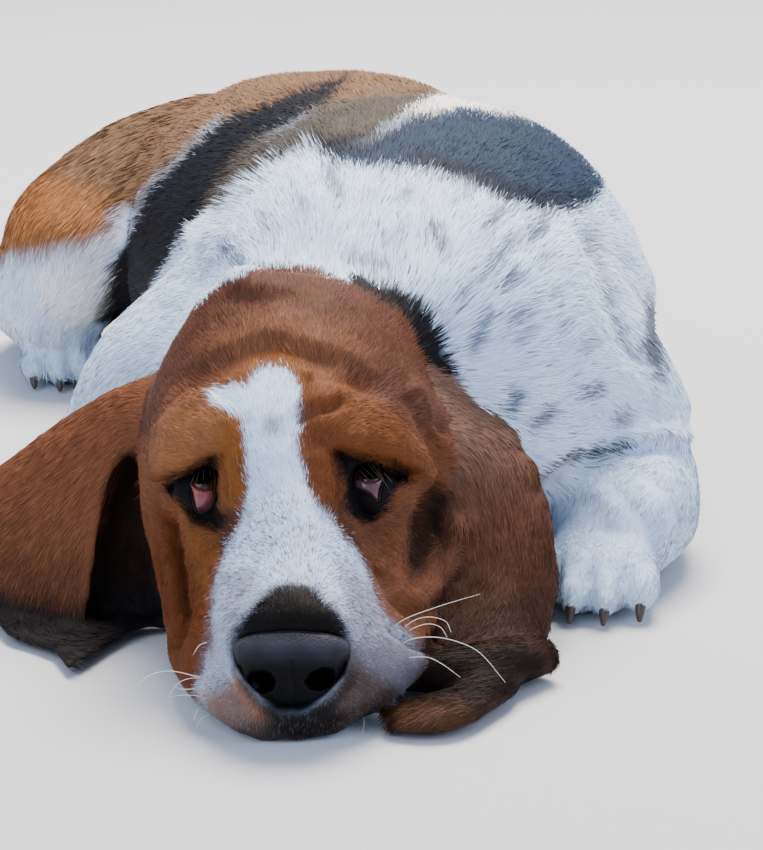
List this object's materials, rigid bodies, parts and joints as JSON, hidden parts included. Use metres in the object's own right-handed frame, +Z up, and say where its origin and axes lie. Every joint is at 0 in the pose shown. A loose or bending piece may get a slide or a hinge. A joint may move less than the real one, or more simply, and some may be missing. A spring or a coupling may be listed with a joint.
{
  "type": "basset hound",
  "caption": "Life-size still model of a basset hound lying on its chest, chin on the ground, long ears spread beside the head, hind legs folded at its sides.",
  "frame": {"origin": "middle of the outline's footprint, on the ground that the dog lies on", "axes": "+Z up, the muzzle points along -Y, the dog's left side is towards +X"},
  "size_m": [0.4544, 0.8832, 0.2121],
  "materials": {
    "coat_white": "short dense white hair with grey ticking",
    "coat_brown": "short glossy red-brown hair",
    "coat_black": "short black hair, browner along the back",
    "coat_tan": "short tan hair shading to white",
    "nose_leather": "moist pebbled skin",
    "eye": "wet dark brown eye with pink third lid"
  },
  "bodies": {
    "root": {"head": "coat_brown", "ear_right": "coat_brown", "ear_left": "coat_brown", "muzzle": "coat_white", "lower_jaw": "coat_white", "neck": "coat_white", "chest": "coat_white", "upper_arm_right": "coat_white", "upper_arm_left": "coat_white", "forearm_right": "coat_white", "forearm_left": "coat_white", "forepaw_right": "coat_white", "forepaw_left": "coat_white", "shank_right": "coat_white", "shank_left": "coat_white", "hindpaw_right": "coat_white", "hindpaw_left": "coat_white", "tail": "coat_white", "loin": "coat_black", "rump": "coat_black", "thigh_left": "coat_black", "thigh_right": "coat_tan", "nose": "nose_leather", "eye_right": "eye", "eye_left": "eye"}
  },
  "joints": []
}
